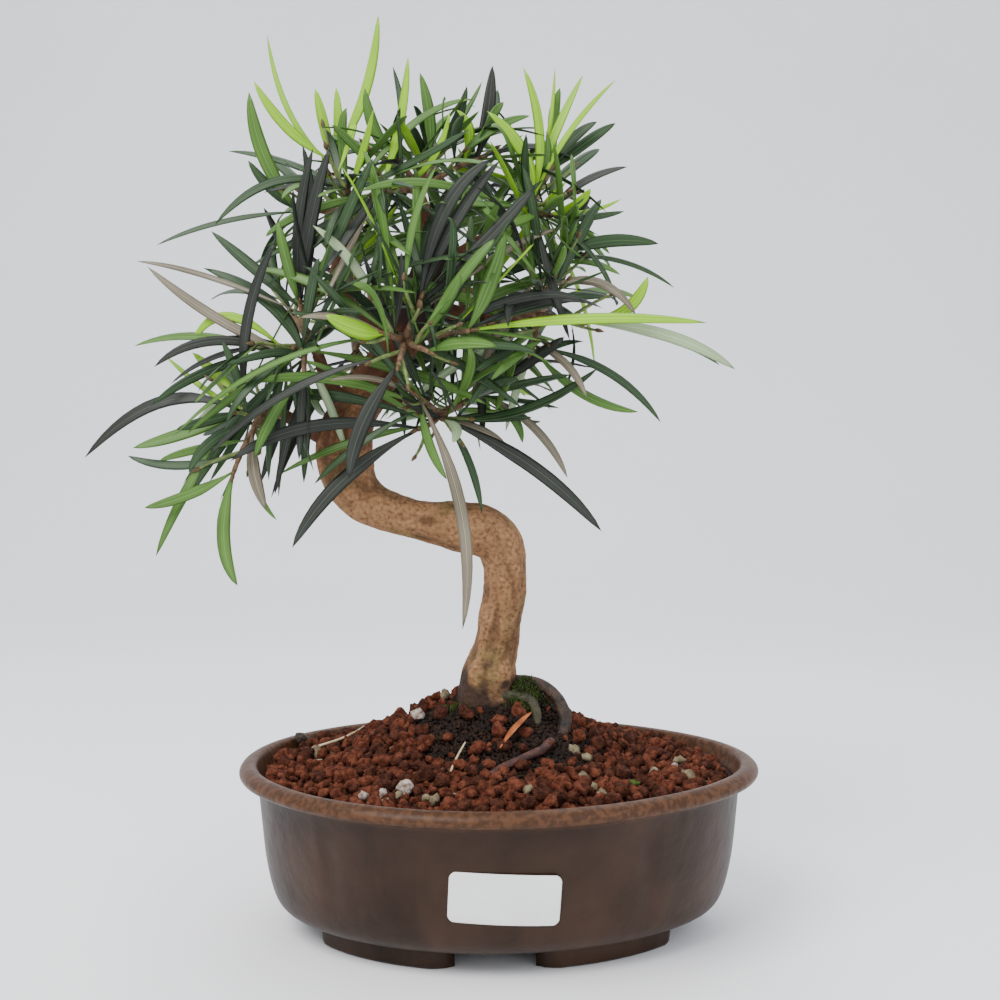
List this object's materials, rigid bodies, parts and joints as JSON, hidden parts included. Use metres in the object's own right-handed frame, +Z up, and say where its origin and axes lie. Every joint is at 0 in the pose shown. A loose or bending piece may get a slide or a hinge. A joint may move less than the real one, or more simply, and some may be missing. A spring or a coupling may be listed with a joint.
{
  "type": "potted bonsai tree",
  "caption": "A podocarpus bonsai: an S-bent trunk under a rounded crown of long narrow leaves, in a low oval pot on short feet.",
  "frame": {"origin": "middle of the bounding box at the ground, under the pot's feet", "axes": "+Z up, along the trunk's rise; -Y is the front, the side the picture shows; +X to the viewer's right"},
  "size_m": [0.268, 0.1698, 0.364],
  "materials": {
    "pot": "satin brown glaze",
    "soil": "rough baked clay grit",
    "bark": "rough ochre and red-brown bark",
    "root_bark": "dark damp bark",
    "leaf": "leathery green leaves, yellow-green where new"
  },
  "bodies": {
    "root": {"pot": "pot", "soil": "soil", "trunk": "bark", "root_outer": "root_bark", "root_inner": "root_bark", "bough_lower_left": "bark", "bough_left": "bark", "bough_upper_left": "bark", "bough_top": "bark", "bough_upper_right": "bark", "bough_right": "bark", "bough_lower_right": "bark", "bough_front": "bark", "bough_back_left": "bark", "bough_back_right": "bark", "mass_lower_left": "leaf", "mass_left": "leaf", "mass_upper_left": "leaf", "mass_top": "leaf", "mass_upper_right": "leaf", "mass_right": "leaf", "mass_lower_right": "leaf", "mass_front": "leaf", "mass_back_left": "leaf", "mass_back_right": "leaf"}
  },
  "joints": []
}
